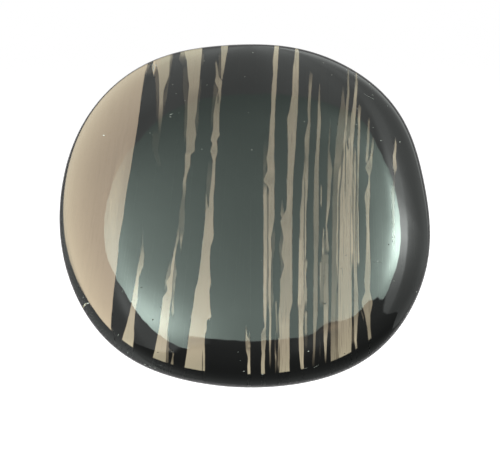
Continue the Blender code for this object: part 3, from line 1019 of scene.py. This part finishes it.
def fleck_mesh(name, rows):
    """One mesh of small closed lenses with ragged outlines."""
    places, faces = [], []
    for across, along, half_long, half_wide, degrees, strength in rows:
        full = FLECK_SCALE * math.sqrt(strength)
        turn = math.radians(degrees)
        ahead = Vector((math.cos(turn), math.sin(turn)))
        aside = Vector((-ahead.y, ahead.x))
        first = len(places)
        for corner in range(CORNERS):
            around = 2 * math.pi * corner / CORNERS
            ragged = 1 + 0.25 * chance.uniform(-1, 1)
            step = ahead * half_long * math.cos(around) + aside * half_wide * math.sin(around)
            step *= full * ragged
            places.append(on_dome(across + step.x, along + step.y, RING_RISE))
        places.append(on_dome(across, along, LENS_RISE))
        places.append(on_dome(across, along, -LENS_RISE))
        for corner in range(CORNERS):
            here, nxt = first + corner, first + (corner + 1) % CORNERS
            faces.append((here, nxt, first + CORNERS))
            faces.append((nxt, here, first + CORNERS + 1))
    mesh = bpy.data.meshes.new(name)
    mesh.from_pydata([tuple(place * MM) for place in places], [], faces)
    piece = bpy.data.objects.new(name, mesh)
    bpy.context.scene.collection.objects.link(piece)
    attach(piece, "root")
    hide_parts("obsidian_disc")
    print(name, "faces:", len(mesh.polygons))
    return mesh


# %% Finish of the flecks
def fleck_finish(name, dull, bright, roughness):
    """A plain scattering material, lighter and darker from grain to grain."""
    finish = bpy.data.materials.new(name)
    finish.use_nodes = True
    nodes = finish.node_tree
    face = nodes.nodes["Principled BSDF"]
    place_in_mm = place(
        nodes, "VectorMath", {0: place(nodes, "TexCoord").outputs["Object"], 1: (1000.0,) * 3}, operation="MULTIPLY"
    )
    grains = place(nodes, "TexNoise", {"Vector": place_in_mm.outputs[0], "Scale": 6.0, "Detail": 2.0})
    amount = ramp_between(nodes, grains.outputs[0], 0.35, 0.65)
    shade = place(nodes, "MixRGB", {0: amount, 1: dull, 2: bright})
    wire(nodes, face.inputs["Base Color"], shade.outputs[0])
    face.inputs["Roughness"].default_value = roughness
    return finish


for name, rows, dull, bright, roughness in (
    ("pale_flecks", PALE_FLECKS, (0.10, 0.11, 0.1, 1), (0.28, 0.28, 0.25, 1), 0.5),
    ("bright_chips", BRIGHT_CHIPS, (0.3, 0.3, 0.27, 1), (0.6, 0.6, 0.54, 1), 0.5),
    # The dark specks are painted shade for small pits, not grains of the stone.
    ("painted_pit_shade", PIT_SHADE_SPECKS, (0.02, 0.024, 0.02, 1), (0.05, 0.05, 0.04, 1), 0.4),
):
    fleck_mesh(name, rows).materials.append(fleck_finish(name, dull, bright, roughness))

# %% [markdown]
# ## Floor
# The disc lies on a white table that is lit from below, which is how a lapidary shows what a
# stone lets through. A glowing floor gives that, and it leaves no shadow.

# %% Light table
FLOOR_GLOW = 1.25
FRONT_GAIN = 0.55
table_mesh = bpy.data.meshes.new("light_table")
reach = 1.5
table_mesh.from_pydata(
    [(-reach, -reach, -0.0002), (reach, -reach, -0.0002), (reach, reach, -0.0002), (-reach, reach, -0.0002)],
    [],
    [(0, 1, 2, 3)],
)
light_table = bpy.data.objects.new("light_table", table_mesh)
bpy.context.scene.collection.objects.link(light_table)
white = bpy.data.materials.new("white_table")
white.use_nodes = True
board = white.node_tree.nodes["Principled BSDF"]
board.inputs["Base Color"].default_value = (0.0, 0.0, 0.0, 1)
board.inputs["Specular IOR Level"].default_value = 0.0
board.inputs["Emission Color"].default_value = (1, 1, 1, 1)
table = white.node_tree
table_place = place(table, "SeparateXYZ", {0: place(table, "TexCoord").outputs["Object"]})
# The lamp under the table stands towards the front, so the glow is a little stronger there.
front_glow = ramp_between(table, table_place.outputs[1], 0.022, -0.016, 1.0, 1.0 + FRONT_GAIN)
wire(table, board.inputs["Emission Strength"], front_glow)
table_mesh.materials.append(white)

# %% [markdown]
# ## Light
# A polished dome is a mirror, so what it shows is the room. Here that is a soft tent with one
# large overhead panel, brightest at its right end where the lamp is, and a dark gap towards the
# viewer that keeps the front of the stone black. The room is painted into the world: each
# direction is read as so many degrees to the right and so many to the back of straight up.

# %% Directions in the room
world = bpy.data.worlds.new("soft_studio")
bpy.context.scene.world = world
world.use_nodes = True
room = world.node_tree
sky = room.nodes["Background"]
look = place(room, "SeparateXYZ", {0: place(room, "TexCoord").outputs["Generated"]})
to_degrees = 180 / math.pi
right = maths(room, "MULTIPLY", maths(room, "ARCTAN2", look.outputs[0], look.outputs[2]), to_degrees)
back = maths(room, "MULTIPLY", maths(room, "ARCTAN2", look.outputs[1], look.outputs[2]), to_degrees)
off_top = maths(room, "MULTIPLY", maths(room, "ARCCOSINE", look.outputs[2]), to_degrees)


def dial(tree, value, low, high, points, low_amount=0.0, high_amount=1.0):
    """Reads an amount off a curve that is given as (place, amount) points."""
    node = place(tree, "FloatCurve", {"Value": ramp_between(tree, value, low, high, smooth=False)})
    curve = node.mapping.curves[0]
    while len(curve.points) < len(points):
        curve.points.new(0.5, 0.5)
    spread = high_amount - low_amount
    for point, (where, amount) in zip(curve.points, sorted(points)):
        point.location = ((where - low) / (high - low), (amount - low_amount) / spread)
        point.handle_type = "VECTOR"
    node.mapping.update()
    return maths(tree, "MULTIPLY_ADD", node.outputs[0], spread, low_amount)


# %% Overhead panel
# The panel's near and far edge, as (degrees to the right, degrees to the back).
PANEL_NEAR = (
    (-17.1, 12.5), (-16.9, 10.6), (-16.4, 8.9), (-15.9, 8.0), (-15.2, 6.9), (-14.5, 5.8), (-14.1, 4.5),
    (-13.4, 2.8), (-12.8, 1.4), (-12.1, -0.5), (-11.5, -2.0), (-10.8, -3.4), (-9.3, -5.9), (-8.1, -7.4),
    (-7.3, -8.2), (-6.5, -8.2), (-5.3, -2.2), (-0.6, -2.2), (4.9, -1.8), (6.0, -1.5), (6.6, -0.5),
    (7.3, 0.9), (8.0, 1.4), (9.3, 1.3), (11.1, 0.9), (13.1, 1.5), (14.2, 2.6), (15.2, 4.0), (16.6, 3.7),
    (17.7, 4.0), (18.9, 3.0), (20.2, 2.3), (21.0, 4.0), (21.6, 6.9), (22.2, 8.6), (22.8, 11.7),
    (22.95, 14.4), (23.0, 15.5),
)
PANEL_FAR = (
    (-17.1, 12.5), (-16.8, 14.0), (-16.4, 15.8), (-15.6, 17.3), (-14.8, 18.5), (-13.7, 19.9),
    (-12.8, 21.2), (-11.1, 22.2), (-9.4, 24.2), (-7.1, 25.8), (-3.7, 27.5), (-0.5, 28.0), (5.8, 28.4),
    (8.8, 28.4), (14.5, 28.6), (16.9, 26.4), (17.5, 24.9), (18.2, 23.4), (19.9, 21.6), (21.4, 20.8),
    (22.2, 19.8), (22.6, 18.5), (22.9, 16.7), (23.0, 15.5),
)
near_edge = dial(room, right, -20.0, 28.0, PANEL_NEAR, low_amount=-10.0, high_amount=30.0)
far_edge = dial(room, right, -20.0, 28.0, PANEL_FAR, low_amount=-10.0, high_amount=30.0)
within = maths(
    room, "MINIMUM", maths(room, "SUBTRACT", back, near_edge), maths(room, "SUBTRACT", far_edge, back)
)
sides = maths(room, "MINIMUM", maths(room, "ADD", right, 17.1), maths(room, "SUBTRACT", 23.0, right))
panel = ramp_between(room, maths(room, "MINIMUM", within, sides), -0.12, 0.25)


def glow(tree, middle, width, height, strength):
    """A soft round patch of light."""
    x = maths(tree, "DIVIDE", maths(tree, "SUBTRACT", right, middle[0]), width)
    y = maths(tree, "DIVIDE", maths(tree, "SUBTRACT", back, middle[1]), height)
    fall = maths(tree, "MULTIPLY_ADD", x, x, maths(tree, "MULTIPLY", y, y))
    return maths(tree, "MULTIPLY", maths(tree, "EXPONENT", maths(tree, "MULTIPLY", fall, -0.5)), strength)


PANEL_FADE = (
    (-10, 3.6), (0, 3.35), (5, 3.45), (8.4, 3.15), (11, 2.85), (14, 2.48), (16.6, 2.1), (18.6, 1.9),
    (21.3, 1.68), (23, 1.52), (25, 1.33), (28.5, 1.15),
)
depth = dial(room, back, -12.0, 30.0, PANEL_FADE, high_amount=5.0)
left_slope = maths(
    room, "MULTIPLY", ramp_between(room, right, -12.0, 0.0, 2.25, 0.0, smooth=False),
    ramp_between(room, back, 12.0, 23.0, 1.0, 0.1),
)
left_glow = maths(
    room, "ADD", glow(room, (-10.3, 1.0), 3.4, 3.7, 9.0), glow(room, (-13.2, 5.5), 1.8, 3.2, 2.6)
)
left_glow = maths(room, "ADD", left_glow, glow(room, (-14.6, 11.4), 1.8, 2.6, 1.5))
right_slope = maths(
    room, "MULTIPLY", ramp_between(room, right, 1.0, 3.6, 0.0, -0.62), ramp_between(room, back, 6.0, 8.5, 1.0, 0.1)
)
right_slope = maths(room, "MULTIPLY", right_slope, ramp_between(room, right, 5.5, 8.5, 1.0, 0.55))
left_glow = maths(room, "ADD", left_glow, glow(room, (15.8, 12.5), 2.0, 5.0, 0.5))
left_glow = maths(room, "ADD", left_glow, glow(room, (-5.0, 1.0), 1.8, 3.0, 0.55))
slopes = maths(room, "ADD", left_slope, right_slope)
panel_light = maths(room, "ADD", maths(room, "ADD", depth, slopes), left_glow)

# %% Lamp at the right end of the panel
# How far left of the panel's right end a direction is: the lamp is brightest at the very end,
# and it throws a broad, weaker glow over that half of the panel.
PANEL_END = (
    (0, 19.0), (2.3, 20.2), (4.0, 21.0), (6.3, 21.3), (9.0, 22.1), (11.7, 22.7), (14.4, 22.95),
    (16.7, 22.8), (18.5, 22.4), (19.8, 22.0), (20.8, 21.4), (21.6, 19.9), (23.4, 18.2), (24.9, 17.5),
    (28.6, 14.5),
)
LAMP_FALL = (
    (0, 1), (1.6, 1), (2.4, 0.95), (3.3, 0.8), (4.0, 0.57), (4.8, 0.36), (6.1, 0.17), (7.3, 0.08),
    (8.5, 0.04), (10, 0.015), (14, 0), (20, 0),
)
LAMP_STRENGTH = (
    (-5, 0), (2.5, 0), (3.5, 0.5), (5, 2), (6.4, 4.6), (8, 9), (9, 14), (10.3, 18.5), (11.7, 22.5),
    (14.4, 24), (16.5, 19), (18.3, 13.5), (19.7, 5.8), (20.6, 1.8), (21.6, 0.4), (24, 0), (40, 0),
)
BROAD_FALL = ((0, 1), (4, 1), (8, 0.86), (12, 0.34), (16, 0.1), (20, 0), (22, 0))
BROAD_STRENGTH = (
    (-5, 0), (0, 1.2), (4, 2.0), (7, 2.1), (10, 2.2), (14, 2.5), (18, 2.3), (20, 1.8), (22, 1.7), (24, 1.3), (27, 0.5),
    (29, 0.1), (40, 0),
)
from_end = maths(room, "SUBTRACT", dial(room, back, 0.0, 30.0, PANEL_END, high_amount=25.0), right)
# The bright end is narrower towards the back.
narrowing = ramp_between(room, back, 13.0, 20.0, 1.08, 1.55)
lamp = maths(
    room, "MULTIPLY",
    dial(room, maths(room, "MULTIPLY", from_end, narrowing), 0.0, 20.0, LAMP_FALL),
    dial(room, back, -5.0, 40.0, LAMP_STRENGTH, high_amount=25.0),
)
broad = maths(
    room, "MULTIPLY",
    dial(room, from_end, 0.0, 22.0, BROAD_FALL),
    dial(room, back, -5.0, 40.0, BROAD_STRENGTH, high_amount=2.5),
)
lamp = maths(room, "ADD", lamp, broad)

# %% Wall beside the lamp
# Past the panel's end the lamp lights a strip of wall, and fades out over the wall behind it.
WALL_STRIP = (
    (-8, 0.2), (-3, 0.4), (0, 0.65), (3, 0.9), (5.6, 1.75), (7, 2.3), (9, 3.4), (11.7, 6.0), (14.5, 8.2),
    (16.9, 7.1), (18.9, 4.6), (20, 2.8), (21.8, 2.2), (23.3, 1.5), (25, 1.0), (28, 0.65), (40, 0.2),
)
strip = dial(room, back, -8.0, 40.0, WALL_STRIP, high_amount=10.0)
# The strip ends at 27 degrees: what is left past it is weaker, and less so towards the back.
left_over = ramp_between(room, back, 15.0, 20.5, 0.33, 0.75)
past_strip = ramp_between(room, right, 26.8, 28.3)
fading = maths(room, "EXPONENT", maths(room, "DIVIDE", maths(room, "MINIMUM", maths(room, "SUBTRACT", 27.5, right), 0.0), 7.0))
kept = maths(room, "SUBTRACT", 1.0, maths(room, "MULTIPLY", past_strip, maths(room, "SUBTRACT", 1.0, left_over)))
on_wall = maths(room, "MULTIPLY", maths(room, "MULTIPLY", kept, fading), ramp_between(room, right, 19.0, 22.5))
wall = maths(room, "MULTIPLY", strip, on_wall)

# %% Dark gap towards the viewer
GAP_LEFT = (
    (-90, -75), (-60, -44), (-43, -36), (-31, -32), (-26, -29), (-20, -27), (-16.8, -24), (-15.5, -14),
    (-12.6, -9.8), (-9, -8.2), (-4, -4), (10, -4),
)
GAP_RIGHT = (
    (-90, 90), (-70, 85), (-40, 60), (-20, 46), (-12, 41), (-8.6, 36), (-6, 30), (-4.5, 27), (-2, 23.5),
    (0.5, 21.9), (2.3, 21), (5, 19.5), (8, -10), (10, -10),
)
GAP_LIGHT = (
    (-90, 0.9), (-70, 0.8), (-55, 0.6), (-42, 0.4), (-27, 0.28), (-20, 0.28), (-12, 0.34), (-6, 0.4),
    (-2, 0.5), (5, 0.6), (10, 0.6),
)
gap_left = dial(room, back, -90.0, 10.0, GAP_LEFT, low_amount=-80.0, high_amount=10.0)
gap_right = dial(room, back, -90.0, 10.0, GAP_RIGHT, low_amount=-20.0, high_amount=100.0)
gap_light = dial(room, back, -90.0, 10.0, GAP_LIGHT)
in_gap = maths(
    room, "MULTIPLY",
    ramp_between(room, maths(room, "SUBTRACT", right, gap_left), -0.6, 0.8),
    ramp_between(room, maths(room, "SUBTRACT", gap_right, right), -0.6, 0.6),
)
gap_light = maths(room, "ADD", gap_light, glow(room, (-32.0, -38.0), 8.0, 14.0, 0.6))
gap_light = maths(room, "ADD", gap_light, glow(room, (6.8, -4.5), 2.2, 3.0, 0.45))
side_light = glow(room, (-15.5, 3.0), 1.2, 3.5, 0.9)
warm_patch = glow(room, (9.2, -0.2), 1.3, 1.0, 0.9)

# %% The whole room
TENT = ((0, 1.15), (30, 1.15), (38, 1.33), (42, 1.4), (50, 1.62), (63, 2.05), (74, 2.15), (90, 1.8))
tent = dial(room, off_top, 0.0, 90.0, TENT, high_amount=3.0)
# The tent is brighter away from its seam, and the right-hand wall is darker towards the viewer.
seam = maths(room, "ABSOLUTE", maths(room, "ADD", right, 1.5))
off_seam = ramp_between(room, seam, 1.2, 6.5, 1.0, 1.2)
sideways = maths(room, "ABSOLUTE", right)
low_down = maths(
    room, "MULTIPLY",
    ramp_between(room, sideways, 13.0, 21.0, 1.0, 0.84), ramp_between(room, sideways, 34.0, 46.0, 1.0, 0.95),
)
near_left = maths(
    room, "MULTIPLY", ramp_between(room, right, -15.0, -19.0), ramp_between(room, back, 4.0, -3.0, 0.0, 0.16)
)
far_right = ramp_between(room, right, 25.0, 33.0)
wall_shade = maths(
    room, "MULTIPLY", ramp_between(room, back, -8.0, 9.0, 0.72, 0.92), ramp_between(room, back, 28.0, 40.0, 1.0, 0.92)
)
wall_shade = maths(room, "MULTIPLY", wall_shade, ramp_between(room, back, 54.0, 88.0, 1.0, 2.5))


def blend(tree, low, high, amount):
    """Goes from one brightness to another by an amount from 0 to 1."""
    step = maths(tree, "SUBTRACT", high, low)
    return maths(tree, "MULTIPLY_ADD", step, amount, low)


shape = maths(room, "MULTIPLY", off_seam, low_down)
near_left = maths(room, "ADD", near_left, glow(room, (-12.0, 25.5), 3.0, 2.2, 0.15))
shape = maths(room, "MULTIPLY", shape, maths(room, "SUBTRACT", 1.0, near_left))
shaded_tent = maths(
    room, "MULTIPLY", maths(room, "MULTIPLY", tent, shape), blend(room, 1.0, wall_shade, far_right)
)
lit_walls = maths(room, "ADD", maths(room, "ADD", shaded_tent, wall), side_light)
walls = blend(room, lit_walls, maths(room, "ADD", gap_light, warm_patch), in_gap)
brightness = blend(room, walls, maths(room, "ADD", panel_light, lamp), panel)
behind = place(room, "LightPath").outputs["Is Camera Ray"]
greenish = place(room, "MixRGB", {0: panel, 1: (0.95, 1.0, 0.97, 1), 2: (0.81, 1.0, 0.9, 1)})
warmed = place(room, "MixRGB", {0: warm_patch, 1: greenish.outputs[0], 2: (1.25, 1.0, 0.75, 1)})
seen = place(room, "MixRGB", {0: behind, 1: warmed.outputs[0], 2: (1, 1, 1, 1)})
wire(room, sky.inputs["Color"], seen.outputs[0])
wire(room, sky.inputs["Strength"], blend(room, brightness, FLOOR_GLOW, behind))
print("nodes in the room:", len(room.nodes))

# %% [markdown]
# ## Camera
# The photograph was taken from almost straight above, 15 degrees towards the viewer, with the
# camera well back so that the outline is hardly drawn out. A long lens at 400 mm repeats it.

# %% Camera
CAMERA_RISE = 75.0
CAMERA_REACH = 0.400
FRAME_WIDE = 500
MM_PER_PIXEL = 0.12973
rise = math.radians(CAMERA_RISE)
aim = (MIDDLE + Vector((-0.077, -0.192, 0.0))) * MM
backward = Vector((0.0, -math.cos(rise), math.sin(rise)))
upright = Vector((0.0, math.sin(rise), math.cos(rise)))
camera_data = bpy.data.cameras.new("above_the_table")
camera_data.sensor_width = 36.0
camera_data.lens = 36.0 * CAMERA_REACH / MM / (FRAME_WIDE * MM_PER_PIXEL)
camera_data.shift_x = 6.0 / FRAME_WIDE
camera_data.shift_y = -17.5 / FRAME_WIDE
camera_data.clip_start = 0.01
camera_data.clip_end = 20.0
camera = bpy.data.objects.new("above_the_table", camera_data)
bpy.context.scene.collection.objects.link(camera)
turned = Matrix((Vector((1, 0, 0)), upright, backward)).transposed().to_4x4()
camera.matrix_world = Matrix.Translation(aim + backward * CAMERA_REACH) @ turned
bpy.context.scene.camera = camera
bpy.context.scene.view_settings.view_transform = "Standard"
print("lens in mm:", round(camera_data.lens, 1))

# %% The end
import json
